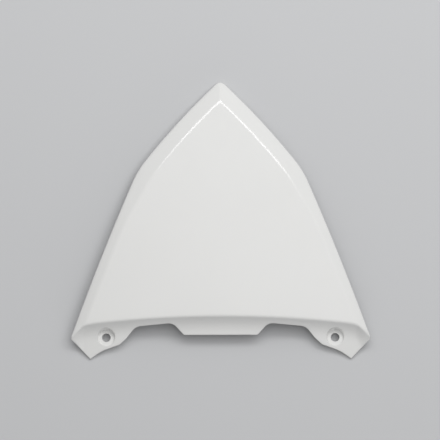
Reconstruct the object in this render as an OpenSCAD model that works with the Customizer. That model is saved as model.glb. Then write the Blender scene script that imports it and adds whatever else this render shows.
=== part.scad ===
// Rear centre cover of a scooter: one thin moulded shell, lying face up.
// It rests on the two tips of its flange and on the lip at its pointed end.
// Lengthwise places are measured from the line through the two screw holes.

/* [Outline] */
// Width across the two side corners before they are blunted
corner_w = 225.2; // [218:0.2:234]
// Place of the side corners
corner_y = -0.6; // [-2:0.1:1]
// Width across the two shoulders
shoulder_w = 124.6; // [112:0.1:136]
// Place of the shoulders
shoulder_y = 125.3; // [115:0.1:135]
// Length of edge that each shoulder's rounding takes on either side
shoulder_blend = 9; // [5:0.5:15]
// Place of the pointed end before it is rounded
apex_y = 193.6; // [184:0.1:204]
// Radius of the pointed end
apex_r = 4.8; // [3.5:0.1:6.5]
// Outward bow of the long sides
side_bow = 1.1; // [0:0.1:2]
// Outward bow of the upper edges
upper_bow = 1.9; // [0.5:0.1:3]

/* [Wall] */
// Thickness of the moulded wall
wall = 2.4; // [1.8:0.1:2.8]
// Depth of the lip that turns down round the edge
lip_h = 5; // [4:0.1:6.5]
// Rounding between the bevel and the lip
edge_r = 1.2; // [0.6:0.1:1.6]

/* [Bevel] */
// Width of the bevel along the upper edges
bevel_top_w = 11; // [9:0.1:13]
// Width of the bevel along the long sides
bevel_side_w = 6.6; // [5.6:0.1:8]
// Middle of the stretch where the bevel narrows
bevel_step_y = 105; // [92:1:116]
// Length of the stretch where the bevel narrows
bevel_step_len = 46; // [34:1:60]
// Fall of the bevel
bevel_angle = 22; // [15:1:28]
// Half width of the rounding on the ridge between face and bevel
ridge_soft = 1.4; // [0.8:0.1:2]

/* [Face] */
// Radius of the crown across the face
crown_r = 850; // [650:10:1400]
// Rise of the face above a straight line from crease to point
face_bow = 2.5; // [1:0.1:4]

/* [Flange] */
// Place of the crease between face and flange, on the centre line
crease_y = 16.7; // [15:0.1:18.5]
// Radius of the crease seen from above
crease_r = 830; // [700:10:1200]
// Distance up the long side to where the crease turns to the corner
bend_up = 13.8; // [11:0.1:17]
// Softness of that turn
bend_soft = 1.5; // [0.5:0.1:3]
// Rounding of the crease
crease_soft = 3; // [2.9:0.1:4]
// Slope of the flange just below the crease
cove_top_angle = 60; // [52:1:64]
// Slope of the flange at its lower part
cove_low_angle = 18; // [13:1:24]
// Radius of the hollow curve between the two slopes
cove_r = 22; // [19:1:25]
// Share by which the flange flattens out towards each side corner
corner_flare = 0.8; // [0.2:0.1:1]

/* [Lower edge] */
// Width of the middle tab at its edge
tab_w = 55.4; // [48:0.1:60]
// Place of the middle tab's edge
tab_y = 2.2; // [-1:0.1:4]
// Rounding of the tab's corners
tab_r = 1.5; // [0.5:0.1:3]
// Width across the inner ends of the two notches
notch_in_w = 71.6; // [67:0.1:78]
// Place of the notches' inner ends
notch_y = 11.4; // [10:0.1:12]
// Rounding of the notches' inner ends
notch_in_r = 8; // [6:0.1:9]
// Width across the outer ends of the two notches
notch_out_w = 127.6; // [118:0.1:131]
// Fall of the notches towards their outer ends
notch_fall = 2.8; // [1.5:0.1:4]
// Rounding of the notches' outer ends
notch_out_r = 9; // [7:0.1:10]
// Width across the elbows between notches and screw ears
elbow_w = 141.6; // [138:0.1:145]
// Place of those elbows
elbow_y = -0.3; // [-1.5:0.1:1]
// Width across the inner ends of the screw ears
ear_in_w = 152; // [150:0.1:156]
// Place of the inner ends of the screw ears
ear_in_y = -5.1; // [-6:0.1:-4.2]
// Rounding of the elbows and of the ears' inner ends
ear_r = 2.5; // [1:0.1:4]
// Hollow bow of the ears' lower edges
ear_bow = 1.4; // [0.2:0.1:2]
// Width across the two tips that the cover stands on
tip_w = 196.4; // [190:0.1:202]
// Place of the tips
tip_y = -16.2; // [-19:0.1:-14.5]

/* [Screw seats] */
// Distance between the two screw holes
screw_gap = 172; // [168:0.1:175]
// Diameter of the screw holes
screw_d = 6.4; // [5:0.1:7.5]
// Diameter of the seat in the pocket at each screw
pocket_d = 12; // [11:0.1:13]
// Slant of the pocket's wall
pocket_flare = 15; // [8:1:18]
// Depth of the pocket's seat below its lower rim
seat_sink = 0.3; // [0.2:0.1:0.8]

/* [Hidden side] */
// Wall round each pocket, seen from below
cup_wall = 2.2; // [1.6:0.1:2.8]
// Thickness of the gussets behind the flange
gusset_t = 1.6; // [1.2:0.1:2.4]
// Length of the gussets under the face
gusset_len = 20; // [12:0.5:28]
// Reach of the gussets down the flange
gusset_drop = 7; // [5:0.5:9]
// Distance between the inner pair of gussets
gusset_in_gap = 36; // [28:1:44]
// Distance between the outer pair of gussets
gusset_out_gap = 138; // [134:1:141]
// Width of each claw
claw_w = 12; // [8:0.5:16]
// Thickness of each claw
claw_t = 2; // [1.6:0.1:2.6]
// Reach of each claw below the middle of the wall
claw_h = 9; // [7:0.1:10]
// Length of each claw's foot
claw_foot = 4; // [3:0.1:5]
// Distance of the side claws from the ridge
claw_in = 7; // [6:0.1:10]
// Place of the lower pair of side claws
claw_low_y = 42; // [36:1:50]
// Place of the upper pair of side claws
claw_high_y = 88; // [78:1:96]
// Distance of the front claw from the pointed end
claw_front_in = 34; // [30:1:44]

/* [Hidden] */
$fn = 64;

// Grid of the shell: steps along the edge, round the point and across the face
rows_along = 34;
rows_round = 4;
face_cols = 9;
cove_steps = 7;
soft_steps = 3;
curve_steps = 8;
patch_steps = 8;
// The flange before its lower edge is cut, and the block that cuts it
flange_reach = 34;
cut_reach = (flange_reach + 10) * (1 + corner_flare);
cut_h = 80;

corner = [corner_w / 2, corner_y];
shoulder = [shoulder_w / 2, shoulder_y];
apex = [0, apex_y];
tip = [tip_w / 2, tip_y];
ear_in = [ear_in_w / 2, ear_in_y];

function lerp(a, b, t) = a + (b - a) * t;
function limit(t) = min(1, max(0, t));
function smooth(t) = limit(t) * limit(t) * (3 - 2 * limit(t));
function unit(v) = v / norm(v);
function turned(v) = [-v[1], v[0]];
function soft_min(a, b, soft) = (a + b - sqrt((a - b) * (a - b) + soft * soft)) / 2;

// Line between two points bent to its right, as the three points of a parabola
function bowed(a, b, bow) = [a, (a + b) / 2 - 2 * bow * turned(unit(b - a)), b];
function on_curve(c, t) = (1 - t) * (1 - t) * c[0] + 2 * t * (1 - t) * c[1] + t * t * c[2];

// Outer edge of the right half, from the side corner to the sharp point
side_curve = bowed(corner, shoulder, side_bow);
upper_curve = bowed(shoulder, apex, upper_bow);
side_end = 1 - shoulder_blend / norm(shoulder - corner);
upper_start = shoulder_blend / norm(apex - shoulder);
shoulder_curve = [on_curve(side_curve, side_end), shoulder, on_curve(upper_curve, upper_start)];
side_len = norm(shoulder - corner) * side_end;
upper_len = norm(apex - shoulder) * (1 - upper_start);
blend_len = 2 * shoulder_blend;
edge_len = side_len + blend_len + upper_len;

// Point at a distance along that edge, its direction, and the ridge beside it
function edge_at(s) =
    s < side_len ? on_curve(side_curve, side_end * s / side_len)
    : s < side_len + blend_len ? on_curve(shoulder_curve, (s - side_len) / blend_len)
    : on_curve(upper_curve, lerp(upper_start, 1, (s - side_len - blend_len) / upper_len));
function edge_dir(s) = unit(edge_at(s + 0.2) - edge_at(s - 0.2));
function bevel_w(y) =
    lerp(bevel_side_w, bevel_top_w, smooth((y - bevel_step_y) / bevel_step_len + 0.5));
function ridge_at(s) = edge_at(s) + bevel_w(edge_at(s)[1]) * turned(edge_dir(s));

// The rounded point: half its angle, where its arc starts, and a place on it
apex_dir = unit(apex - upper_curve[1]);
apex_half = atan(-apex_dir[0] / apex_dir[1]);
arc_centre = [0, apex_y - apex_r / sin(apex_half)];
arc_start = edge_len - apex_r / tan(apex_half);
point_y = arc_centre[1] + apex_r;
function arc_at(part) =
    let (a = lerp(apex_half, 90, part))
    arc_centre + apex_r * [cos(a), sin(a)];

// The crease, from the centre line out to the side corner
bend_x = ridge_at(bend_up)[0];
bend_y = crease_y - bend_x * bend_x / (2 * crease_r);
function past_bend(x) = limit((abs(x) - bend_x) / (corner[0] - bend_x));
function crease_at(x) = soft_min(
    crease_y - x * x / (2 * crease_r),
    lerp(bend_y, corner_y, (abs(x) - bend_x) / (corner[0] - bend_x)),
    bend_soft);

// Section of the flange, as rows of distance from the crease, drop and slope
soft_run = crease_soft * tan(cove_top_angle / 2);
soft_end = [
    crease_soft * sin(cove_top_angle) - soft_run,
    crease_soft * (1 - cos(cove_top_angle))];
cove_end = soft_end + cove_r * [
    sin(cove_top_angle) - sin(cove_low_angle),
    cos(cove_low_angle) - cos(cove_top_angle)];
function soft_row(a) = [crease_soft * sin(a) - soft_run, crease_soft * (1 - cos(a)), a];
function cove_row(a) = [
    soft_end[0] + cove_r * (sin(cove_top_angle) - sin(a)),
    soft_end[1] + cove_r * (cos(a) - cos(cove_top_angle)),
    a];
function cove_slope(run) = asin(sin(cove_top_angle) - (run - soft_end[0]) / cove_r);
function low_drop(run) = cove_end[1] + (run - cove_end[0]) * tan(cove_low_angle);
function cove_drop(run) =
    run > cove_end[0] ? low_drop(run)
    : run > soft_end[0] ? cove_row(cove_slope(run))[1]
    : 0;

// The section is stretched past the bend. Place of a distance down it, and back
function flare(x) = 1 + corner_flare * smooth(past_bend(x));
function run_y(x, run) = crease_at(x) + soft_run - (run + soft_run) * flare(x);
function run_of(x, y) = (crease_at(x) + soft_run - y) / flare(x) - soft_run;
flange_rows = concat(
    [[flange_reach, low_drop(flange_reach), cove_low_angle]],
    [for (i = [0 : cove_steps])
        cove_row(lerp(cove_low_angle, cove_top_angle, i / cove_steps))],
    [for (i = [1 : soft_steps]) soft_row(lerp(cove_top_angle, 0, i / soft_steps))]);

// Heights, set so that the two tips and the lip at the point touch the ground
tan_bevel = tan(bevel_angle);
function along(y) = (y - crease_y) / (point_y - crease_y);
tip_run = crease_at(tip[0]) - tip_y;
tip_along = along(crease_at(tip[0]));
tip_depth =
    tip[0] * tip[0] / (2 * crown_r) + cove_drop(tip_run) + wall / cos(cove_low_angle);
point_z = lip_h + bevel_top_w * tan_bevel;
crease_z = (tip_depth - tip_along * point_z) / (1 - tip_along) - 4 * face_bow * tip_along;
function centre_z(y) =
    lerp(crease_z, point_z, along(y)) + 4 * face_bow * along(y) * (1 - along(y));
function face_z(x, y) = centre_z(y) - x * x / (2 * crown_r);
function crease_top(x) = face_z(x, crease_at(x))
    - tan_bevel * bevel_side_w * past_bend(x);
function flange_z(x, y) = crease_top(x) - cove_drop(run_of(x, y));

// Rows of the shell above the flange, as shares of the edge's length
arc_share = (arc_start - soft_run) / (edge_len - soft_run);
shares = concat(
    [for (j = [1 : rows_along]) arc_share * j / rows_along],
    [for (j = [1 : rows_round]) lerp(arc_share, 1, j / rows_round)]);
ridge_end = edge_len - bevel_top_w / tan(apex_half);
inner_apex = [0, apex_y - bevel_top_w / sin(apex_half)];

// One row: its edge, the way inwards there, its ridge, bevel width and share
function row_of(share) =
    let (s = lerp(soft_run, edge_len, share),
        in_arc = share > arc_share,
        edge = in_arc ? arc_at((share - arc_share) / (1 - arc_share)) : edge_at(s),
        in_dir = in_arc ? unit(arc_centre - edge) : turned(edge_dir(s)),
        at_end = share > arc_share - 0.001,
        ridge = at_end ? inner_apex : ridge_at(lerp(bend_up, ridge_end, share / arc_share)))
    [edge, in_dir, ridge, bevel_w(edge[1]), share];
rows = [for (share = shares) row_of(share)];

// Columns from the edge inwards: 0 to 3 are the lip and its rounding, 4 to 6
// the ridge, and the rest run over the face to the centre line
ridge_col = 6;
half_cols = ridge_col + face_cols;
cols = 2 * half_cols + 1;
low_x = edge_at(soft_run)[0];
lip_x = low_x - wall / edge_dir(soft_run)[1];
ridge_drop = ridge_soft * tan_bevel / 4;
round_in = 0.3 * edge_r;
function from_edge(k, w) = [0, 0, round_in, edge_r, w - ridge_soft, w][k];
function lip_drop(k) = k < 3 ? [lip_h, edge_r, round_in][k] : k == 5 ? ridge_drop : 0;
function face_share(k) = 1 - (k - ridge_col) / face_cols;

// Places across a flange row, the same from the crease down
function low_col_x(k) =
    k <= 5 ? lerp(low_x, bend_x, from_edge(k, bevel_side_w) / bevel_side_w)
    : (bend_x - ridge_soft) * face_share(k);

// Outer skin of the right half: flange rows, then rows up to the point
function skin_low(row, k) =
    let (x = low_col_x(k))
    [x, run_y(x, row[0]), crease_top(x) - row[1] - lip_drop(k)];
function skin_high(row, k) =
    let (w = row[3],
        arch = crease_at(low_col_x(max(k, ridge_col))) - crease_at(low_col_x(ridge_col)),
        in_dir = row[4] < arc_share - 0.001 ? unit(row[2] - row[0]) : [0, -1.4],
        inner = row[2] + ridge_soft * in_dir,
        at = k <= 5 ? lerp(row[0], row[2], from_edge(k, w) / w)
            : [inner[0] * face_share(k), inner[1] + arch * (1 - row[4])],
        fall = k <= 5 ? tan_bevel * (w - from_edge(k, w)) : 0)
    [at[0], at[1], face_z(at[0], at[1]) - fall - lip_drop(k)];

// Inner skin: the same rows, one wall thickness in
function under_low(row, k) =
    let (x = k < 4 ? lip_x : low_col_x(k),
        in_y = k == 0 ? 0 : wall * sin(row[2]),
        in_z = k == 0 ? lip_h : wall * cos(row[2]))
    [x, run_y(x, row[0]) + in_y, crease_top(x) - row[1] - in_z];
function under_high(row, k) =
    let (p = skin_high(row, k),
        edge = row[0] + wall * row[1],
        edge_z = face_z(edge[0], edge[1]) - tan_bevel * (row[3] - wall))
    k == 0 ? [edge[0], edge[1], p[2]]
    : k < 4 ? [edge[0], edge[1], edge_z - wall / cos(bevel_angle)]
    : [p[0], p[1], p[2] - (k < 5 ? wall / cos(bevel_angle) : wall)];

function sided(p, c) = c > half_cols ? [-p[0], p[1], p[2]] : p;
function col_of(c) = min(c, cols - 1 - c);
skin_points = concat(
    [for (row = flange_rows, c = [0 : cols - 1]) sided(skin_low(row, col_of(c)), c)],
    [for (row = rows, c = [0 : cols - 1]) sided(skin_high(row, col_of(c)), c)]);
under_points = concat(
    [for (row = flange_rows, c = [0 : cols - 1]) sided(under_low(row, col_of(c)), c)],
    [for (row = rows, c = [0 : cols - 1]) sided(under_high(row, col_of(c)), c)]);

// Number of a grid point. Rows and columns that meet at the point share one,
// and the inner skin has a sharp corner where the outer one is rounded
row_n = len(flange_rows) + len(rows);
arc_row = row_n - 1 - rows_round;
function sewn(r, c, inner) =
    let (k0 = col_of(c),
        on_arc = r >= arc_row,
        k = inner && (k0 == 1 || k0 == 2) ? 3 : on_arc ? min(k0, ridge_col) : k0,
        row = k >= 5 ? min(r, arc_row) : r,
        one_side = (on_arc && k >= 5) || r == row_n - 1,
        col = one_side || c <= half_cols ? k : cols - 1 - k)
    row * cols + col + (inner ? row_n * cols : 0);
function whole(faces) =
    [for (f = faces) if (f[0] != f[1] && f[1] != f[2] && f[2] != f[0]) f];
function quad(a, b, c, d, other) = other ? [[a, b, d], [b, c, d]] : [[a, b, c], [a, c, d]];
skin_faces = [for (r = [0 : row_n - 2], c = [0 : cols - 2]) each quad(
    sewn(r, c, false), sewn(r, c + 1, false),
    sewn(r + 1, c + 1, false), sewn(r + 1, c, false), c < half_cols)];
under_faces = [for (r = [0 : row_n - 2], c = [0 : cols - 2]) each quad(
    sewn(r + 1, c, true), sewn(r + 1, c + 1, true),
    sewn(r, c + 1, true), sewn(r, c, true), c < half_cols)];
lip_faces = [for (r = [0 : row_n - 2], c = [0, cols - 1])
    let (a = sewn(r, c, c > 0), b = sewn(r + 1, c, c > 0),
        d = sewn(r + 1, c, c == 0), e = sewn(r, c, c == 0))
    each quad(a, b, d, e, false)];
low_faces = [for (c = [0 : cols - 2]) each quad(
    sewn(0, c, true), sewn(0, c + 1, true), sewn(0, c + 1, false), sewn(0, c, false), false)];

// Path with rounded corners: each entry is x, y and the rounding there
function corner_arc(a, p, b, r) =
    let (u = unit(a - p), v = unit(b - p),
        half = acos(u * v) / 2,
        centre = p + unit(u + v) * r / sin(half),
        start = p + u * r / tan(half) - centre,
        side = sign(u[1] * v[0] - u[0] * v[1]),
        turn = (180 - 2 * half) * side)
    [for (i = [0 : curve_steps])
        let (q = turn * i / curve_steps)
        centre + cos(q) * start + sin(q) * turned(start)];
function flat(p) = [p[0], p[1]];
function rounded(path) = [for (i = [0 : len(path) - 1])
    let (p = path[i])
    each (p[2] == 0 ? [flat(p)]
        : corner_arc(flat(path[i - 1]), flat(p), flat(path[i + 1]), p[2]))];

// Lower edge of the right half, from the middle of the tab to the tip
ear_curve = bowed(ear_in, tip, -ear_bow);
lower_edge = concat(
    rounded([
        [0, tab_y, 0],
        [tab_w / 2, tab_y, tab_r],
        [notch_in_w / 2, notch_y, notch_in_r],
        [notch_out_w / 2, notch_y - notch_fall, notch_out_r],
        [elbow_w / 2, elbow_y, ear_r],
        [ear_in[0], ear_in[1], ear_r],
        [on_curve(ear_curve, 0.5)[0], on_curve(ear_curve, 0.5)[1], 0]]),
    [for (i = [curve_steps / 2 + 1 : curve_steps]) on_curve(ear_curve, i / curve_steps)]);

// The seat in each pocket is level, and its lower rim runs out of the flange
seat_z = flange_z(screw_gap / 2, -pocket_d / 2) - seat_sink;
cup_r = pocket_d / 2 + cup_wall;
cup_low = seat_z - wall;
pocket_slant = tan(pocket_flare);
middle_y = (point_y + tip_y) / 2;

module both_sides() {
    children();
    mirror([1, 0, 0]) children();
}

module shell() {
    polyhedron(
        concat(skin_points, under_points),
        whole(concat(skin_faces, under_faces, lip_faces, low_faces)));
}

// Everything past the lower edge and past the line from tip to corner
module lower_cut() {
    past_corner = tip + 2 * (corner - tip);
    right = concat(lower_edge, [past_corner, [past_corner[0], -cut_reach]]);
    left = [for (i = [len(right) - 1 : -1 : 1]) [-right[i][0], right[i][1]]];
    translate([0, 0, -cut_h / 2]) linear_extrude(cut_h) polygon(concat(right, left));
}

// Block under the middle of the flange's wall, down to the cup's underside
module under_flange(x, half) {
    n = patch_steps;
    size = n + 1;
    top = [for (i = [0 : n], j = [0 : n])
        let (px = x + half * (2 * i / n - 1), py = half * (2 * j / n - 1))
        [px, py, flange_z(px, py) - wall / 2]];
    low = [for (i = [-1, 1], j = [-1, 1]) [x + half * i, half * j, cup_low]];
    base = len(top);
    top_faces = [for (i = [0 : n - 1], j = [0 : n - 1])
        let (a = i * size + j)
        each [[a, a + 1, a + size + 1], [a, a + size + 1, a + size]]];
    side_faces = [
        concat([base, base + 1], [for (j = [n : -1 : 0]) j]),
        concat([base + 3, base + 2], [for (j = [0 : n]) n * size + j]),
        concat([base + 2, base], [for (i = [0 : n]) i * size]),
        concat([base + 1, base + 3], [for (i = [n : -1 : 0]) i * size + n])];
    bottom = [[base, base + 2, base + 3, base + 1]];
    polyhedron(concat(top, low), concat(top_faces, side_faces, bottom));
}

// Round piece at a screw that widens upwards with the pocket's slant
module screw_cone(r, z) {
    translate([screw_gap / 2, 0, z])
        cylinder(r1 = r, r2 = r + crease_z * pocket_slant, h = crease_z);
}

// Round cup behind a pocket, closed below by the screw seat
module screw_cup() {
    intersection() {
        under_flange(screw_gap / 2, cup_r + wall);
        screw_cone(cup_r, cup_low);
    }
}

module screw_pocket() {
    screw_cone(pocket_d / 2, seat_z);
    translate([screw_gap / 2, 0, 0]) cylinder(d = screw_d, h = crease_z);
}

// Web in the corner behind the flange, from under the face to the flange
module gusset(x) {
    top = crease_top(x);
    function in_wall(row) = [
        run_y(x, row[0]) + wall / 2 * sin(row[2]),
        top - row[1] - wall / 2 * cos(row[2])];
    start = cove_row(cove_slope(gusset_drop));
    flange_side = [for (row = flange_rows) if (row[0] < gusset_drop - 0.5) in_wall(row)];
    face_start = crease_at(x) + soft_run;
    face_side = [for (i = [1 : 3])
        let (y = face_start + gusset_len * i / 3)
        [y, face_z(x, y) - wall / 2]];
    translate([x - gusset_t / 2, 0, 0]) rotate([90, 0, 90]) linear_extrude(gusset_t)
        polygon(concat([in_wall(start)], flange_side, face_side));
}

// Hooked tab that hangs from the wall and points outwards
module claw() {
    rotate([90, 0, 0]) translate([0, 0, -claw_w / 2]) linear_extrude(claw_w) polygon([
        [0, 0],
        [0, -claw_h],
        [claw_t + claw_foot * 0.7, -claw_h],
        [claw_t + claw_foot, -claw_h + claw_t / 2],
        [claw_t + claw_foot, -claw_h + claw_t],
        [claw_t, -claw_h + claw_t],
        [claw_t, 0]]);
}

module side_claw(y) {
    s = (y - corner_y) / edge_dir(side_len / 2)[1];
    way = edge_dir(s);
    at = ridge_at(s) + claw_in * turned(way);
    translate([at[0], at[1], face_z(at[0], at[1]) - wall / 2])
        rotate([0, 0, atan2(way[1], way[0]) - 90]) claw();
}

module front_claw() {
    y = point_y - claw_front_in;
    translate([0, y, face_z(0, y) - wall / 2]) rotate([0, 0, 90]) claw();
}

module rear_cover() {
    color("white") translate([0, -middle_y, 0]) difference() {
        union() {
            shell();
            both_sides() {
                screw_cup();
                gusset(gusset_in_gap / 2);
                gusset(gusset_out_gap / 2);
                side_claw(claw_low_y);
                side_claw(claw_high_y);
            }
            front_claw();
        }
        lower_cut();
        both_sides() screw_pocket();
    }
}

rear_cover();
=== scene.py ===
"""Looks of the scooter rear cover panel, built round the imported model.

Sizes are in millimetres, as in the part's source, until a mesh is made of them. Lengthwise
places are measured from the line through the two screw holes. The panel is the same on both
sides, so its right half is worked out and then mirrored.
"""
import math

import bmesh
import bpy
import numpy as np
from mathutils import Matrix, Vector
from mathutils.geometry import delaunay_2d_cdt


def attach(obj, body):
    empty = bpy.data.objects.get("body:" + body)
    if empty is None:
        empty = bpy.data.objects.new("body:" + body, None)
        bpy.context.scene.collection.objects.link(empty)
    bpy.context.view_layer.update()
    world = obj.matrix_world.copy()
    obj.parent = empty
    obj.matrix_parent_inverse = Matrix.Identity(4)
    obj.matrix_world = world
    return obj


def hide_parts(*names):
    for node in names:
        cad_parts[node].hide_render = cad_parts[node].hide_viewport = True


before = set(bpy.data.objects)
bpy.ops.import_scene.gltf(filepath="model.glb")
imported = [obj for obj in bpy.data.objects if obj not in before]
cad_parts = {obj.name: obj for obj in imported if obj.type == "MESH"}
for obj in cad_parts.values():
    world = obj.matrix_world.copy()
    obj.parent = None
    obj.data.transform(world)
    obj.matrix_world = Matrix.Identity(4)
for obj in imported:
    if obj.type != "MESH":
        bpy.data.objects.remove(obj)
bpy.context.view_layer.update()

MM = 0.001

# Outline: side corner, shoulder and point before they are blunted or rounded
CORNER = np.array([112.6, -0.6])
SHOULDER = np.array([62.3, 125.3])
SHOULDER_BLEND = 9.0
APEX = np.array([0.0, 193.6])
APEX_R = 4.8
SIDE_BOW = 1.1
UPPER_BOW = 1.9

# Wall, lip and the rounding of their edges. The lip's rounding grows over a few points of the
# outline before the lip starts
WALL = 2.4
LIP_H = 5.0
EDGE_R = 1.2
FREE_R = 0.5
FOOT_R = 0.3
INNER_R = 0.8
ROUND_STEPS = 4
GROW_POINTS = 6

# Bevel, the ridge beside it, and the hip between the two upper bevels
BEVEL_TOP_W = 11.0
BEVEL_SIDE_W = 6.6
BEVEL_STEP_Y = 105.0
BEVEL_STEP_LEN = 46.0
BEVEL_ANGLE = math.radians(22)
RIDGE_SOFT = 1.4
HIP_SOFT = 0.6
HIP_RISE = 3.0

# Face
CROWN_R = 850.0
FACE_BOW = 2.5

# Crease and flange. Past its bend the crease heads straight for its end on the side edge
CREASE_Y = 16.7
CREASE_R = 830.0
BEND_UP = 13.8
BEND_SOFT = 1.5
CREASE_END = np.array([110.6, 4.2])
CREASE_SOFT = 3.0
COVE_TOP = math.radians(60)
COVE_LOW = math.radians(18)
COVE_R = 22.0
CORNER_FLARE = 0.8
MEET_SOFT = 2.0

# Lower edge: tab, notch, elbow, screw ear and tip
TAB = np.array([27.7, 2.2])
TAB_R = 1.5
NOTCH_IN = np.array([35.8, 11.4])
NOTCH_IN_R = 8.0
NOTCH_OUT = np.array([63.8, 8.6])
NOTCH_OUT_R = 9.0
ELBOW = np.array([70.8, -0.3])
EAR_IN = np.array([76.0, -5.1])
EAR_R = 2.5
EAR_BOW = 1.4
TIP = np.array([98.2, -16.2])

# Screw seats
SCREW_X = 86.0
SCREW_R = 3.2
SEAT_R = 6.0
SEAT_SINK = 0.3
POCKET_SLANT = math.tan(math.radians(15))
CUP_WALL = 2.2
POCKET_RIM = 0.3
POCKET_RIM_LEAST = 0.05
POCKET_RIM_SHARE = 0.25
POCKET_FOOT = 0.25
POCKET_FOOT_SHARE = 0.4
HOLE_RIM = 0.25

# Gussets and claws on the hidden side
GUSSET_X = [18.0, 69.0]
GUSSET_T = 1.6
GUSSET_LEN = 20.0
GUSSET_DROP = 7.0
GUSSET_COVE_POINTS = 6
GUSSET_SOFT_POINTS = 4
CLAW_W = 12.0
CLAW_T = 2.0
CLAW_H = 9.0
CLAW_FOOT = 4.0
CLAW_TOE = 0.7
CLAW_IN = 7.0
CLAW_Y = [42.0, 88.0]
CLAW_FRONT_IN = 34.0
DETAIL_R = 0.3
DETAIL_SEGMENTS = 2

# Spacing of points over the skins, along the outline and round curves. The grid over the
# skins starts below the tips
FACE_STEP = 3.0
GRID_LOW = -20.0
LINE_STEP = 1.5
FLANK_STEP = 0.6
CORNER_STEP = 0.7
CORNER_LEN = 12.0
EDGE_POINTS = 130
CURVE_STEPS = 8
POINT_STEPS = 10
CIRCLE_STEPS = 64

# Lines that the mesh follows: along the ridge, down the flange, beside the middle near the
# point, and round the pocket and the cup
OUTER_RIDGE_LINES = 9
INNER_RIDGE_LINES = 3
RIDGE_LEAD = 1.0
RIDGE_STEP = 2.0
SOFT_LINES = 7
COVE_LINES = 10
SLOPE_LEAD = 2.0
SLOPE_STEP = 2.5
FLANGE_RUN = 34.0
FINE_X = 98.0
HIP_X = [0.25, 0.5, 0.8, 1.2, 1.8]
HIP_LEAD = 2.0
HIP_STEP = 0.8
POCKET_CLEAR = 1.2
CUP_CLEAR = 0.8

# Limits of the mesh. Its lines keep clear of the edge and the middle, and its grid keeps clear
# of fixed points by a share of its step. Points closer than the weld become one, triangles
# lower than a sliver are dropped, and edges with a bend over the angle are sharp
CLEAR_OF_EDGE = 0.45
CLEAR_OF_MIDDLE = 0.25
CLEAR_OF_FIXED = 0.55
WELD = 0.002
SLIVER = 0.0001
TINY = 0.0001
SHARP_ANGLE = math.radians(38)

# The edge as a line of points that depths are measured from. It starts before the corner
EDGE_LEAD = 6.0
DEPTH_POINTS = 240
DEPTH_POINT_STEPS = 12
DEPTH_BATCH = 2000

# Search for the place where a slanted wall round the screw reaches a skin
WALL_SEARCH = 11.0
WALL_HALVINGS = 24

# Numbers of the two materials on the mesh
PAINTED = 0
MOULDED = 1


def lerp(a, b, t):
    """Value at a share t of the way from a to b."""
    return a + (b - a) * t


def smooth(t):
    """A share kept between 0 and 1 and eased at both ends."""
    t = np.clip(t, 0, 1)
    return t * t * (3 - 2 * t)


def unit(v):
    """Each vector at a length of 1."""
    return v / np.linalg.norm(v, axis=-1, keepdims=True)


def turned(v):
    """Each vector turned a quarter to the left."""
    return np.stack([-v[..., 1], v[..., 0]], axis=-1)


def soft_min(a, b, soft):
    """The smaller of two values, blended where they are close."""
    return (a + b - np.hypot(a - b, soft)) / 2


def soft_max(a, b, soft):
    """The larger of two values, blended where they are close."""
    return (a + b + np.hypot(a - b, soft)) / 2


def bowed(a, b, bow):
    """A line between two points bent to its right, as the three points of a parabola."""
    return a, (a + b) / 2 - 2 * bow * turned(unit(b - a)), b


def on_curve(curve, t):
    """Point at a share t of the way along a parabola."""
    t = np.asarray(t, float)[..., None]
    return (1 - t) ** 2 * curve[0] + 2 * t * (1 - t) * curve[1] + t * t * curve[2]


# Outer edge of the right half, by the distance from the side corner
SIDE = bowed(CORNER, SHOULDER, SIDE_BOW)
UPPER = bowed(SHOULDER, APEX, UPPER_BOW)
SIDE_SPAN = np.linalg.norm(SHOULDER - CORNER)
UPPER_SPAN = np.linalg.norm(APEX - SHOULDER)
SIDE_END = 1 - SHOULDER_BLEND / SIDE_SPAN
UPPER_START = SHOULDER_BLEND / UPPER_SPAN
BLEND = (on_curve(SIDE, SIDE_END), SHOULDER, on_curve(UPPER, UPPER_START))
SIDE_LEN = SIDE_SPAN * SIDE_END
BLEND_LEN = 2 * SHOULDER_BLEND
UPPER_LEN = UPPER_SPAN * (1 - UPPER_START)
EDGE_LEN = SIDE_LEN + BLEND_LEN + UPPER_LEN


def edge_at(s):
    """Place on the edge at a distance from the side corner."""
    s = np.asarray(s, float)
    side = on_curve(SIDE, SIDE_END * s / SIDE_LEN)
    blend = on_curve(BLEND, (s - SIDE_LEN) / BLEND_LEN)
    upper = on_curve(UPPER, lerp(UPPER_START, 1, (s - SIDE_LEN - BLEND_LEN) / UPPER_LEN))
    past_side = (s >= SIDE_LEN)[..., None]
    past_blend = (s >= SIDE_LEN + BLEND_LEN)[..., None]
    return np.where(past_blend, upper, np.where(past_side, blend, side))


def edge_dir(s):
    """Way along the edge at a distance from the side corner."""
    near = 0.2
    return unit(edge_at(np.asarray(s) + near) - edge_at(np.asarray(s) - near))


def bevel_w(y):
    """Width of the bevel at a lengthwise place."""
    return lerp(BEVEL_SIDE_W, BEVEL_TOP_W, smooth((y - BEVEL_STEP_Y) / BEVEL_STEP_LEN + 0.5))


def inside_edge(s, depth):
    """Places at a distance in from the edge."""
    return edge_at(s) + np.asarray(depth)[..., None] * turned(edge_dir(s))


# The rounded point: half its angle and its arc
APEX_DIR = unit(APEX - UPPER[1])
APEX_HALF = math.atan(-APEX_DIR[0] / APEX_DIR[1])
ARC_CENTRE = np.array([0.0, APEX[1] - APEX_R / math.sin(APEX_HALF)])
ARC_START = EDGE_LEN - APEX_R / math.tan(APEX_HALF)
POINT_Y = ARC_CENTRE[1] + APEX_R
MIDDLE_Y = (POINT_Y + TIP[1]) / 2


def arc_points(steps):
    """Points round the right half of the rounded point."""
    turn = np.linspace(APEX_HALF, math.pi / 2, steps + 1)
    return ARC_CENTRE + APEX_R * np.stack([np.cos(turn), np.sin(turn)], axis=-1)


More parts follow.
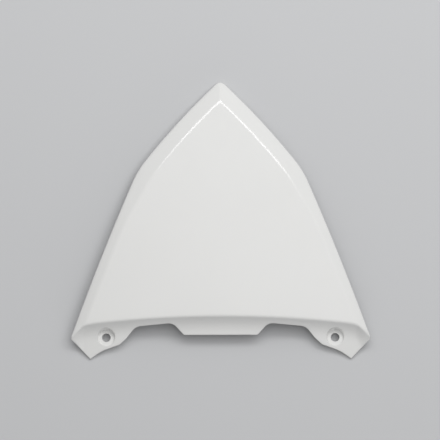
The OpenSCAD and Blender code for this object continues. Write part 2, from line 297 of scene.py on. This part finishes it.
BEND = inside_edge(BEND_UP, BEVEL_SIDE_W)
BEND_Y = CREASE_Y - BEND[0] ** 2 / (2 * CREASE_R)


def crease_at(x):
    """Lengthwise place of the crease: an arc, then a straight line past the bend."""
    return soft_min(
        CREASE_Y - x * x / (2 * CREASE_R),
        lerp(BEND_Y, CREASE_END[1], (abs(x) - BEND[0]) / (CREASE_END[0] - BEND[0])),
        BEND_SOFT)


# Section of the flange: a rounded crease, a hollow curve and a straight slope
SOFT_RUN = CREASE_SOFT * math.tan(COVE_TOP / 2)
SOFT_END = np.array([
    CREASE_SOFT * math.sin(COVE_TOP) - SOFT_RUN,
    CREASE_SOFT * (1 - math.cos(COVE_TOP))])
COVE_END = SOFT_END + COVE_R * np.array([
    math.sin(COVE_TOP) - math.sin(COVE_LOW),
    math.cos(COVE_LOW) - math.cos(COVE_TOP)])


def cove_drop(run, depth):
    """Drop of the flange at a distance from the crease, for the skin at a depth in the wall."""
    soft_r = CREASE_SOFT - depth
    cove_r = COVE_R + depth
    soft_end = SOFT_END[0] - depth * math.sin(COVE_TOP)
    cove_end = COVE_END[0] - depth * math.sin(COVE_LOW)
    soft_sin = np.clip((run + SOFT_RUN) / soft_r, 0, 1)
    cove_sin = (SOFT_END[0] + COVE_R * math.sin(COVE_TOP) - run) / cove_r
    cove_sin = np.clip(cove_sin, 0, 1)
    soft = CREASE_SOFT - soft_r * np.sqrt(1 - soft_sin ** 2)
    cove = SOFT_END[1] - COVE_R * math.cos(COVE_TOP) + cove_r * np.sqrt(1 - cove_sin ** 2)
    slope = COVE_END[1] + depth * math.cos(COVE_LOW) + (run - cove_end) * math.tan(COVE_LOW)
    low = np.where(run < cove_end, cove, slope)
    return np.where(run < -SOFT_RUN, depth, np.where(run < soft_end, soft, low))


# Heights, set so that the two tips and the lip at the point touch the floor
TAN_BEVEL = math.tan(BEVEL_ANGLE)


def along(y):
    """Share of the way from the crease to the point."""
    return (y - CREASE_Y) / (POINT_Y - CREASE_Y)


TIP_ALONG = along(crease_at(TIP[0]))
TIP_DEPTH = (TIP[0] ** 2 / (2 * CROWN_R) + cove_drop(crease_at(TIP[0]) - TIP[1], 0)
             + WALL / math.cos(COVE_LOW))
POINT_Z = LIP_H + BEVEL_TOP_W * TAN_BEVEL
CREASE_Z = (TIP_DEPTH - TIP_ALONG * POINT_Z) / (1 - TIP_ALONG) - 4 * FACE_BOW * TIP_ALONG


def face_z(x, y):
    """Height of the crowned face, as if it had no bevel."""
    t = along(y)
    return lerp(CREASE_Z, POINT_Z, t) + 4 * FACE_BOW * t * (1 - t) - x * x / (2 * CROWN_R)


def line_distance(p, line):
    """Distance of each point from a line of points, and the nearest place on it. The points
    are taken in batches, to save memory."""
    far, near = [], []
    a, way = line[:-1], line[1:] - line[:-1]
    no_length = 1e-12
    size = np.maximum((way ** 2).sum(axis=1), no_length)
    for part in np.array_split(p, max(1, len(p) // DEPTH_BATCH)):
        gap = part[:, None] - a
        t = np.clip((gap * way).sum(axis=2) / size, 0, 1)
        miss = gap - t[..., None] * way
        span = (miss ** 2).sum(axis=2)
        best = span.argmin(axis=1)
        rows = np.arange(len(part))
        far.append(np.sqrt(span[rows, best]))
        near.append(part - miss[rows, best])
    return np.concatenate(far), np.concatenate(near)


EDGE_LINE = np.concatenate([
    edge_at(np.linspace(-EDGE_LEAD, ARC_START, DEPTH_POINTS)),
    arc_points(DEPTH_POINT_STEPS)[1:]])


def upper_z(x, y, inner):
    """Height of face and bevel, as if the flange weren't there. The hip is softened."""
    hip = HIP_SOFT * smooth((ARC_CENTRE[1] - y) / HIP_RISE)
    depth, edge = line_distance(np.stack([np.hypot(x, hip), y], axis=-1), EDGE_LINE)
    out = bevel_w(edge[:, 1]) - depth
    ramp = np.clip(out + RIDGE_SOFT, 0, None) ** 2 / (4 * RIDGE_SOFT)
    fall = TAN_BEVEL * np.where(out > RIDGE_SOFT, out, ramp)
    slant = WALL / math.cos(BEVEL_ANGLE) - WALL
    extra = slant * smooth(out / (2 * RIDGE_SOFT) + 0.5) if inner else 0
    return face_z(x, y) - fall - extra


def flare(x):
    """How far the flange's section is stretched past the bend of the crease."""
    return 1 + CORNER_FLARE * smooth((abs(x) - BEND[0]) / (CORNER[0] - BEND[0]))


def run_y(x, run):
    """Lengthwise place at a distance down the flange's section."""
    return crease_at(x) + SOFT_RUN - (run + SOFT_RUN) * flare(x)


def skin_z(p, inner=False):
    """Height of the outer or the inner skin, without rounded edges or pockets."""
    x, y = abs(p[:, 0]), p[:, 1]
    crease = crease_at(x)
    run = (crease + SOFT_RUN - y) / flare(x) - SOFT_RUN
    top = upper_z(x, soft_max(y, crease, MEET_SOFT), inner)
    return top - cove_drop(run, WALL if inner else 0)


SEAT_Z = float(skin_z(np.array([[SCREW_X, -SEAT_R]]))[0]) - SEAT_SINK
CUP_LOW = SEAT_Z - WALL
CUP_R = SEAT_R + CUP_WALL


def under_z(p):
    """Height of the inner skin with the cup round each screw seat."""
    far = np.hypot(abs(p[:, 0]) - SCREW_X, p[:, 1]) - CUP_R
    cup = CUP_LOW + np.clip(far, 0, None) / POCKET_SLANT
    return np.minimum(skin_z(p, inner=True), cup)


def corner_arc(a, p, b, r):
    """The rounding of a corner at p between the ways to a and b."""
    u, v = unit(a - p), unit(b - p)
    half = math.acos(float(u @ v)) / 2
    centre = p + unit(u + v) * r / math.sin(half)
    start = p + u * r / math.tan(half) - centre
    side = math.copysign(1, u[1] * v[0] - u[0] * v[1])
    turn = np.linspace(0, (math.pi - 2 * half) * side, CURVE_STEPS + 1)[:, None]
    return centre + np.cos(turn) * start + np.sin(turn) * turned(start)


def filled(points, step):
    """The same line with more points on its long stretches."""
    out = [points[:1]]
    for a, b in zip(points[:-1], points[1:]):
        count = max(1, math.ceil(np.linalg.norm(b - a) / step))
        out.append(lerp(a, b, (np.arange(count)[:, None] + 1) / count))
    return np.concatenate(out)


def lower_edge():
    """Lower edge of the right half, from the middle of the tab to the tip."""
    ear = bowed(EAR_IN, TIP, -EAR_BOW)
    ear_line = on_curve(ear, np.linspace(0.5, 1, CURVE_STEPS))
    path = [
        (TAB, TAB_R), (NOTCH_IN, NOTCH_IN_R), (NOTCH_OUT, NOTCH_OUT_R), (ELBOW, EAR_R),
        (EAR_IN, EAR_R)]
    places = [np.array([0, TAB[1]])] + [p for p, r in path] + [ear_line[0]]
    arcs = [corner_arc(places[i], p, places[i + 2], r) for i, (p, r) in enumerate(path)]
    return filled(np.concatenate([places[:1]] + arcs + [ear_line]), LINE_STEP)


def meeting(p, way_a, in_a, way_b, in_b):
    """Where two lines through p meet when each moves in by its own distance."""
    normals = np.stack([turned(way_a), turned(way_b)])
    in_line = 0.001
    if abs(np.linalg.det(normals)) < in_line:
        return p + normals[0] * (in_a + in_b) / 2
    return p + np.linalg.solve(normals, [in_a, in_b])


def right_outline():
    """Outline of the right half from the tab to the point, and the number of its first place
    with a lip. The side corner is blunted, and a cut runs from it to the tip."""
    low = edge_at(SOFT_RUN)
    cut = unit(CORNER - TIP)
    blunt = TIP + cut * (low[0] - TIP[0]) / cut[0]
    lip_end = meeting(blunt, cut, 0, np.array([0.0, 1.0]), WALL + INNER_R)
    edge = lower_edge()
    cut_line = filled(np.array([TIP, lip_end]), LINE_STEP)[1:]
    near_corner = np.arange(SOFT_RUN, CORNER_LEN, CORNER_STEP)
    further = np.linspace(CORNER_LEN, ARC_START, EDGE_POINTS)
    side = edge_at(np.concatenate([near_corner, further]))
    flank = filled(np.array([blunt, low]), FLANK_STEP)[:-1]
    outline = np.concatenate([edge, cut_line, flank, side, arc_points(POINT_STEPS)[1:]])
    return outline, len(edge) + len(cut_line)


def rim_steps():
    """The way round the rim, from the outer skin to the inner one. Each step holds, for the
    lip and then for a free edge: the distance in, what the height is measured from, and the
    height above that."""
    steps = []
    for a in np.linspace(0, math.pi / 2, ROUND_STEPS + 1):
        in_part, fall = 1 - math.sin(a), math.cos(a) - 1
        lip = (EDGE_R * in_part, "top", EDGE_R * fall)
        free = (FREE_R * in_part, "top", FREE_R * fall)
        steps.append((lip, free))
    free_end = (FREE_R / 2, "under", 0)
    steps.append(((0, "foot", FOOT_R), (0, "under", FREE_R / 2)))
    steps.append(((FOOT_R, "foot", 0), free_end))
    steps.append(((WALL - FOOT_R, "foot", 0), free_end))
    steps.append(((WALL, "foot", FOOT_R), free_end))
    for a in np.linspace(0, math.pi / 2, ROUND_STEPS):
        lip = (WALL + INNER_R * (1 - math.cos(a)), "under", INNER_R * (math.sin(a) - 1))
        steps.append((lip, free_end))
    return steps


def rim_rings():
    """Rings of points round the rim of the right half, from the outer skin to the inner one.
    The rounding of the top edge grows gradually before the lip starts."""
    outline, first_lip = right_outline()
    mirror = np.array([-1, 1])
    whole = np.concatenate([outline[1:2] * mirror, outline, outline[-2:-1] * mirror])
    ways = unit(whole[1:] - whole[:-1])
    foot = skin_z(outline) - LIP_H
    number = np.arange(len(outline))
    has_lip = number >= first_lip
    grown = smooth((number - first_lip) / GROW_POINTS + 1)
    rings = []
    for lip, free in rim_steps():
        is_top = lip[1] == "top"
        share = grown if is_top else has_lip
        after = lerp(free[0], lip[0], share)
        before = after.copy()
        if not is_top:
            before[first_lip] = 0
        places = np.array([
            meeting(p, ways[i], before[i], ways[i + 1], after[i]) for i, p in enumerate(outline)])
        places[[0, -1], 0] = 0
        from_z = {"top": skin_z(places), "under": under_z(places), "foot": foot}
        z = np.where(has_lip, from_z[lip[1]], from_z[free[1]]) + lerp(free[2], lip[2], share)
        rings.append(np.column_stack([places, z]))
    return rings


def circle(r):
    """Loop round a screw. The radius is one number or one for each point of the loop."""
    turn = np.arange(CIRCLE_STEPS) * 2 * math.pi / CIRCLE_STEPS
    return np.stack([SCREW_X + r * np.cos(turn), r * np.sin(turn)], axis=-1)


def wall_end(start_r, start_z, inner):
    """Radius at which a slanted wall round the screw reaches the outer or inner skin. The span
    in which it lies is halved again and again."""
    near = np.full(CIRCLE_STEPS, SCREW_R)
    far = near + WALL_SEARCH
    for _ in range(WALL_HALVINGS):
        middle = (near + far) / 2
        wall_z = start_z + np.clip(middle - start_r, 0, None) / POCKET_SLANT
        over = wall_z > skin_z(circle(middle), inner)
        near, far = np.where(over, near, middle), np.where(over, middle, far)
    return near


def rounded_rings(a, b, c):
    """Radius and height of rings that round the corner at b between a and c."""
    for t in np.linspace(0, 1, ROUND_STEPS):
        yield [(1 - t) ** 2 * p + 2 * t * (1 - t) * q + t * t * r for p, q, r in zip(a, b, c)]


def pocket_rings():
    """Rings from the outer skin down the pocket, over its seat and through the screw hole. The
    pocket's rim and foot are rounded less where it is shallow."""
    mouth = wall_end(SEAT_R, SEAT_Z, inner=False)
    mouth_z = SEAT_Z + (mouth - SEAT_R) / POCKET_SLANT
    depth = mouth_z - SEAT_Z
    rim = np.clip(depth * POCKET_RIM_SHARE, POCKET_RIM_LEAST, POCKET_RIM)
    foot = np.minimum(depth * POCKET_FOOT_SHARE, POCKET_FOOT)
    level = np.ones(CIRCLE_STEPS)
    outside = (mouth + rim, skin_z(circle(mouth + rim)))
    wall_top = (mouth - rim * POCKET_SLANT, mouth_z - rim)
    wall_foot = (SEAT_R + foot * POCKET_SLANT, SEAT_Z + foot)
    seat = (SEAT_R - foot, SEAT_Z * level)
    plan = [*rounded_rings(outside, (mouth, mouth_z), wall_top)]
    plan += rounded_rings(wall_foot, (SEAT_R * level, SEAT_Z * level), seat)
    plan += [
        ((SCREW_R + HOLE_RIM) * level, SEAT_Z * level),
        (SCREW_R * level, (SEAT_Z - HOLE_RIM) * level),
        (SCREW_R * level, (CUP_LOW + HOLE_RIM) * level),
        ((SCREW_R + HOLE_RIM) * level, CUP_LOW * level)]
    return [np.column_stack([circle(r), z]) for r, z in plan]


def is_inside(p, loop):
    """Whether each point lies inside a closed loop."""
    a, b = loop, np.roll(loop, -1, axis=0)
    x, y = p[:, 0, None], p[:, 1, None]
    spans = (a[:, 1] > y) != (b[:, 1] > y)
    rise = np.where(b[:, 1] == a[:, 1], 1, b[:, 1] - a[:, 1])
    cross = a[:, 0] + (y - a[:, 1]) * (b[:, 0] - a[:, 0]) / rise
    return (spans & (x < cross)).sum(axis=1) % 2 == 1


def ridge_lines(count):
    """Lines side by side along the ridge, from near the bend of the crease to the middle."""
    s = np.arange(BEND_UP + RIDGE_LEAD, ARC_START, RIDGE_STEP)
    for off in np.linspace(-RIDGE_SOFT, RIDGE_SOFT, count):
        line = inside_edge(s, bevel_w(edge_at(s)[:, 1]) + off)
        line = line[line[:, 0] > CLEAR_OF_MIDDLE]
        last = line[-1]
        way = unit(last - line[-2])
        yield np.concatenate([line, [last - way * last[0] / way[0]]])


def crease_lines(depth):
    """Lines along the flange, at steps down its section."""
    soft = np.linspace(0, COVE_TOP, SOFT_LINES)
    cove = np.linspace(COVE_TOP, COVE_LOW, COVE_LINES)[1:]
    runs = np.concatenate([
        (CREASE_SOFT - depth) * np.sin(soft) - SOFT_RUN,
        SOFT_END[0] + COVE_R * math.sin(COVE_TOP) - (COVE_R + depth) * np.sin(cove),
        np.arange(COVE_END[0] + SLOPE_LEAD, FLANGE_RUN, SLOPE_STEP)])
    x = np.concatenate([
        np.arange(0, FINE_X, LINE_STEP),
        np.arange(FINE_X, CORNER[0], LINE_STEP / 2)])
    for run in runs:
        yield np.stack([x, run_y(x, run)], axis=-1)


def hip_lines():
    """Lines close beside the middle, between the face's inner point and the outer one."""
    start = APEX[1] - BEVEL_TOP_W / math.sin(APEX_HALF) - HIP_LEAD
    y = np.arange(start, POINT_Y - HIP_LEAD, HIP_STEP)
    for x in HIP_X:
        yield np.stack([np.full_like(y, x), y], axis=-1)


def loop_edges(start, count):
    """Edges that join numbered points into a closed loop."""
    return [(start + i, start + (i + 1) % count) for i in range(count)]


def fixed_points(outline, border, loop, lines):
    """Points of the border, the loop and the lines, and the edges that join them. Places on a
    line that are off the skin, or close to its outline or its loop, are left out."""
    points = [border, loop]
    edges = loop_edges(0, len(border)) + loop_edges(len(border), len(loop))
    count = len(border) + len(loop)
    for line in lines:
        gap, _ = line_distance(line, outline)
        hole_gap, _ = line_distance(line, np.concatenate([loop, loop[:1]]))
        good = is_inside(line + [TINY, 0], border) & ~is_inside(line, loop)
        good &= (gap > CLEAR_OF_EDGE) & (hole_gap > CLEAR_OF_EDGE)
        numbers = count + np.cumsum(good) - 1
        joined = good[:-1] & good[1:]
        edges += zip(numbers[:-1][joined], numbers[1:][joined])
        points.append(line[good])
        count += good.sum()
    return np.concatenate(points), edges


def grid_points(border, loop, fixed):
    """Points of a triangular grid over the skin, clear of the fixed points."""
    rows = np.arange(GRID_LOW, POINT_Y, FACE_STEP * math.sin(math.pi / 3))
    grid = np.array([
        (x + FACE_STEP * (0.5 + 0.5 * (i % 2)), y)
        for i, y in enumerate(rows) for x in np.arange(0, CORNER[0], FACE_STEP)])
    grid = grid[is_inside(grid, border) & ~is_inside(grid, loop)]
    near = np.array([((fixed - p) ** 2).sum(axis=1).min() for p in grid])
    return grid[near > (CLEAR_OF_FIXED * FACE_STEP) ** 2]


def triangle_heights(a, b, c):
    """Height of each triangle over its longest side."""
    spans = [((q - p) ** 2).sum(axis=1) for p, q in ((a, b), (b, c), (c, a))]
    return (turned(b - a) * (c - a)).sum(axis=1) / np.sqrt(np.max(spans, axis=0))


def skin_mesh(ring, hole, lines):
    """Triangles over one skin of the right half. The ring is its outline from the tab to the
    point, the hole is the loop round the screw, and the lines are followed by edges."""
    outline = ring[:, :2]
    loop = hole[:, :2]
    middle = filled(np.array([outline[-1], outline[0]]), FACE_STEP)[1:-1]
    border = np.concatenate([outline, middle])
    fixed, edges = fixed_points(outline, border, loop, lines)
    points = np.concatenate([fixed, grid_points(border, loop, fixed)])
    result = delaunay_2d_cdt(
        [Vector(p) for p in points.tolist()], [(int(a), int(b)) for a, b in edges], [], 0, TINY)
    places = np.array([v[:] for v in result[0]])
    faces = np.array(result[2])
    centre = places[faces].mean(axis=1)
    kept = is_inside(centre, border) & ~is_inside(centre, loop)
    height = triangle_heights(*places[faces].transpose(1, 0, 2))
    return places, faces[kept & (height > SLIVER)]


def strips(rings, closed):
    """Faces between rings that have the same number of points."""
    n = len(rings[0])
    last = n if closed else n - 1
    return [
        (r * n + i, (r + 1) * n + i, (r + 1) * n + (i + 1) % n, r * n + (i + 1) % n)
        for r in range(len(rings) - 1) for i in range(last)]


def add_faces(bm, points, faces, material, sides=(1, -1)):
    """Adds a mesh of the right half, in metres about the middle of the panel, on both sides or
    on the one given."""
    for side in sides:
        verts = [bm.verts.new((side * x * MM, (y - MIDDLE_Y) * MM, z * MM)) for x, y, z in points]
        for face in faces:
            corners = [verts[i] for i in (face if side == 1 else face[::-1])]
            made = bm.faces.new(corners)
            made.material_index = material
            made.smooth = True


def slab(outline, place, way, width):
    """A flat piece: an outline in the plane of way and height, made thick across it."""
    across = np.array([-way[1], way[0]])
    points = []
    for half in (-width / 2, width / 2):
        for run, rise in outline:
            points.append((*(place[:2] + way * run + across * half), place[2] + rise))
    n = len(outline)
    faces = [tuple(range(n)), tuple(range(2 * n - 1, n - 1, -1))]
    faces += [(i, n + i, n + (i + 1) % n, (i + 1) % n) for i in range(n)]
    return points, faces


def gusset(x):
    """Web in the corner behind the flange, from under the face to the flange."""
    run = np.concatenate([
        np.linspace(GUSSET_DROP, SOFT_END[0], GUSSET_COVE_POINTS),
        np.linspace(SOFT_END[0], -SOFT_RUN, GUSSET_SOFT_POINTS)[1:],
        [-SOFT_RUN - GUSSET_LEN / 2, -SOFT_RUN - GUSSET_LEN]])
    y = run_y(x, run)
    places = np.stack([np.full_like(y, x), y], axis=-1)
    z = (skin_z(places) + skin_z(places, inner=True)) / 2
    return slab([*zip(y, z)], np.array([x, 0, 0]), np.array([0.0, 1.0]), GUSSET_T)


# Outline of a claw: its stem, and the foot with a sloped toe
CLAW = [
    (0, 0), (0, -CLAW_H), (CLAW_T + CLAW_FOOT * CLAW_TOE, -CLAW_H),
    (CLAW_T + CLAW_FOOT, -CLAW_H + CLAW_T / 2), (CLAW_T + CLAW_FOOT, -CLAW_H + CLAW_T),
    (CLAW_T, -CLAW_H + CLAW_T), (CLAW_T, 0)]


def claw(at, way):
    """Hooked tab that hangs from the middle of the wall, with its foot along way."""
    z = float(skin_z(at[None])[0]) - WALL / 2
    return slab(CLAW, np.array([*at, z]), way, CLAW_W)


def side_claws():
    """The claws along the right long side."""
    middle_way = edge_dir(SIDE_LEN / 2)
    for y in CLAW_Y:
        s = (y - CORNER[1]) / middle_way[1]
        at = inside_edge(s, BEVEL_SIDE_W + CLAW_IN)
        yield claw(at, -turned(edge_dir(s)))


def front_claw():
    """The claw near the point."""
    return claw(np.array([0.0, POINT_Y - CLAW_FRONT_IN]), np.array([0.0, 1.0]))


def build_shell():
    """Closed mesh of the shell: both skins, the rim between them and the screw pockets."""
    rings = rim_rings()
    pocket = pocket_rings()
    mouth = wall_end(SEAT_R, SEAT_Z, inner=False)
    cup_foot = wall_end(CUP_R, CUP_LOW, inner=True)
    outer_lines = [
        *ridge_lines(OUTER_RIDGE_LINES), *crease_lines(0), *hip_lines(),
        circle(mouth + POCKET_CLEAR)]
    inner_lines = [
        *ridge_lines(INNER_RIDGE_LINES), *crease_lines(WALL),
        circle(CUP_R), circle(cup_foot), circle(cup_foot + CUP_CLEAR)]
    outer, outer_faces = skin_mesh(rings[0], pocket[0], outer_lines)
    inner, inner_faces = skin_mesh(rings[-1], pocket[-1], inner_lines)
    bm = bmesh.new()
    add_faces(bm, np.column_stack([outer, skin_z(outer)]), outer_faces.tolist(), PAINTED)
    add_faces(bm, np.column_stack([inner, under_z(inner)]), inner_faces[:, ::-1].tolist(), MOULDED)
    # The paint ends at the outer edge of the lip's foot
    last_painted = ROUND_STEPS + 2
    outside, inside = rings[:last_painted + 1], rings[last_painted:]
    add_faces(bm, np.concatenate(outside), strips(outside, False), PAINTED)
    add_faces(bm, np.concatenate(inside), strips(inside, False), MOULDED)
    add_faces(bm, np.concatenate(pocket), strips(pocket, True), PAINTED)
    bmesh.ops.remove_doubles(bm, verts=bm.verts, dist=WELD * MM)
    bmesh.ops.dissolve_degenerate(bm, edges=bm.edges, dist=WELD * MM)
    bmesh.ops.recalc_face_normals(bm, faces=bm.faces)
    return bm


def build_details():
    """Mesh of the gussets and claws, with rounded edges."""
    bm = bmesh.new()
    for points, faces in [gusset(x) for x in GUSSET_X] + [*side_claws()]:
        add_faces(bm, points, faces, MOULDED)
    points, faces = front_claw()
    add_faces(bm, points, faces, MOULDED, sides=(1,))
    bmesh.ops.recalc_face_normals(bm, faces=bm.faces)
    bmesh.ops.bevel(
        bm, geom=bm.edges[:], offset=DETAIL_R * MM, segments=DETAIL_SEGMENTS, affect="EDGES",
        profile=0.5)
    return bm


def build_cover():
    """The whole panel as one mesh object."""
    shell = build_shell()
    details = build_details()
    part = bpy.data.meshes.new("details")
    details.to_mesh(part)
    shell.from_mesh(part)
    bpy.data.meshes.remove(part)
    mesh = bpy.data.meshes.new("rear_cover_shell")
    shell.to_mesh(mesh)
    shell.free()
    details.free()
    mesh.set_sharp_from_angle(angle=SHARP_ANGLE)
    cover = bpy.data.objects.new("rear_cover_shell", mesh)
    bpy.context.scene.collection.objects.link(cover)
    return cover


def new_material(name):
    """A material with a principled shader, with its nodes and links."""
    material = bpy.data.materials.new(name)
    material.use_nodes = True
    return material, material.node_tree.nodes, material.node_tree.links


def noise(nodes, links, scale, detail):
    """Noise through the object, from its own coordinates."""
    where = nodes.new("ShaderNodeTexCoord")
    made = nodes.new("ShaderNodeTexNoise")
    made.inputs["Scale"].default_value = scale
    made.inputs["Detail"].default_value = detail
    links.new(where.outputs["Object"], made.inputs["Vector"])
    return made.outputs["Fac"]


def ranged(nodes, links, value, low, high):
    """The middle of the noise spread over a range of values."""
    made = nodes.new("ShaderNodeMapRange")
    made.inputs["From Min"].default_value = 0.3
    made.inputs["From Max"].default_value = 0.7
    made.inputs["To Min"].default_value = low
    made.inputs["To Max"].default_value = high
    links.new(value, made.inputs["Value"])
    return made.outputs["Result"]


def mixed(nodes, links, value, first, second):
    """Two colours mixed by a value."""
    made = nodes.new("ShaderNodeMix")
    made.data_type = "RGBA"
    links.new(value, made.inputs["Factor"])
    made.inputs["A"].default_value = (*first, 1)
    made.inputs["B"].default_value = (*second, 1)
    return made.outputs["Result"]


def bumped(nodes, links, height, strength, distance):
    """Normal with bumps of a height in metres."""
    made = nodes.new("ShaderNodeBump")
    made.inputs["Strength"].default_value = strength
    made.inputs["Distance"].default_value = distance
    links.new(height, made.inputs["Height"])
    return made.outputs["Normal"]


def gloss_paint():
    """White gloss paint with a faint orange peel under a clear coat."""
    material, nodes, links = new_material("white_gloss_plastic")
    shader = nodes["Principled BSDF"]
    cloud = noise(nodes, links, scale=14, detail=3)
    haze = noise(nodes, links, scale=90, detail=4)
    peel = noise(nodes, links, scale=420, detail=2)
    colour = mixed(nodes, links, cloud, (0.775, 0.775, 0.762), (0.8, 0.8, 0.79))
    roughness = ranged(nodes, links, haze, low=0.1, high=0.16)
    normal = bumped(nodes, links, peel, strength=0.04, distance=0.0002)
    links.new(colour, shader.inputs["Base Color"])
    links.new(roughness, shader.inputs["Roughness"])
    links.new(normal, shader.inputs["Normal"])
    links.new(normal, shader.inputs["Coat Normal"])
    shader.inputs["IOR"].default_value = 1.5
    shader.inputs["Coat Weight"].default_value = 0.5
    shader.inputs["Coat Roughness"].default_value = 0.08
    return material


def moulded_plastic():
    """Bare white plastic of the hidden side, with the fine grain of the mould."""
    material, nodes, links = new_material("white_moulded_plastic")
    shader = nodes["Principled BSDF"]
    cloud = noise(nodes, links, scale=22, detail=3)
    grain = noise(nodes, links, scale=1500, detail=3)
    colour = mixed(nodes, links, cloud, (0.72, 0.72, 0.7), (0.76, 0.76, 0.745))
    roughness = ranged(nodes, links, grain, low=0.42, high=0.56)
    normal = bumped(nodes, links, grain, strength=0.25, distance=0.0001)
    links.new(colour, shader.inputs["Base Color"])
    links.new(roughness, shader.inputs["Roughness"])
    links.new(normal, shader.inputs["Normal"])
    shader.inputs["IOR"].default_value = 1.5
    return material


def pale_floor():
    """A wide flat floor in a plain pale grey."""
    material, nodes, _ = new_material("pale_floor")
    shader = nodes["Principled BSDF"]
    shader.inputs["Base Color"].default_value = (0.57, 0.575, 0.585, 1)
    shader.inputs["Roughness"].default_value = 0.9
    shader.inputs["Specular IOR Level"].default_value = 0.1
    mesh = bpy.data.meshes.new("floor")
    half = 6.0
    corners = [(-half, -half, 0), (half, -half, 0), (half, half, 0), (-half, half, 0)]
    mesh.from_pydata(corners, [], [(0, 1, 2, 3)])
    mesh.materials.append(material)
    floor = bpy.data.objects.new("floor", mesh)
    bpy.context.scene.collection.objects.link(floor)
    return floor


def area_light(name, place, size, power, in_gloss):
    """A soft light that faces the middle of the panel. Its place and size are in metres, and
    in_gloss tells whether gloss shows it."""
    data = bpy.data.lights.new(name, "AREA")
    data.shape = "RECTANGLE"
    data.size, data.size_y = size
    data.energy = power
    light = bpy.data.objects.new(name, data)
    light.location = place
    light.rotation_euler = (-Vector(place)).to_track_quat("-Z", "Y").to_euler()
    light.visible_camera = False
    light.visible_glossy = in_gloss
    bpy.context.scene.collection.objects.link(light)


def light_scene():
    """A broad key, a low fill and a strip that glints along the ridges, in an even world."""
    area_light("key", place=(0.42, 0.6, 1.55), size=(1.6, 1.6), power=16.1, in_gloss=False)
    area_light("fill", place=(0.35, -1.3, 0.3), size=(1.4, 0.4), power=1.8, in_gloss=False)
    area_light("strip", place=(0.04, 0.57, 0.95), size=(1.08, 0.25), power=3.3, in_gloss=True)
    world = bpy.data.worlds.new("studio")
    world.use_nodes = True
    background = world.node_tree.nodes["Background"]
    background.inputs["Color"].default_value = (0.9, 0.9, 0.9, 1)
    background.inputs["Strength"].default_value = 0.38
    bpy.context.scene.world = world


def place_camera():
    """A long lens straight above, in metres, with the panel where the photograph has it. The
    scale is the size of a pixel at the height of the outline."""
    scale = 0.75 * MM
    pixels = 440
    distance = 2.5
    outline_z = 12 * MM
    roll = math.radians(-0.12)
    centre_px = (220.45, 220.75)
    data = bpy.data.cameras.new("camera")
    data.sensor_width = 36
    data.lens = data.sensor_width * (distance - outline_z) / (pixels * scale)
    camera = bpy.data.objects.new("camera", data)
    camera.location = (
        (pixels / 2 - centre_px[0]) * scale, (centre_px[1] - pixels / 2) * scale, distance)
    camera.rotation_euler = (0, 0, roll)
    bpy.context.scene.collection.objects.link(camera)
    bpy.context.scene.camera = camera


cover = build_cover()
for material in (gloss_paint(), moulded_plastic()):
    cover.data.materials.append(material)
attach(cover, "root")
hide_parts("rear_cover")
pale_floor()
light_scene()
place_camera()
bpy.context.scene.view_settings.view_transform = "Standard"
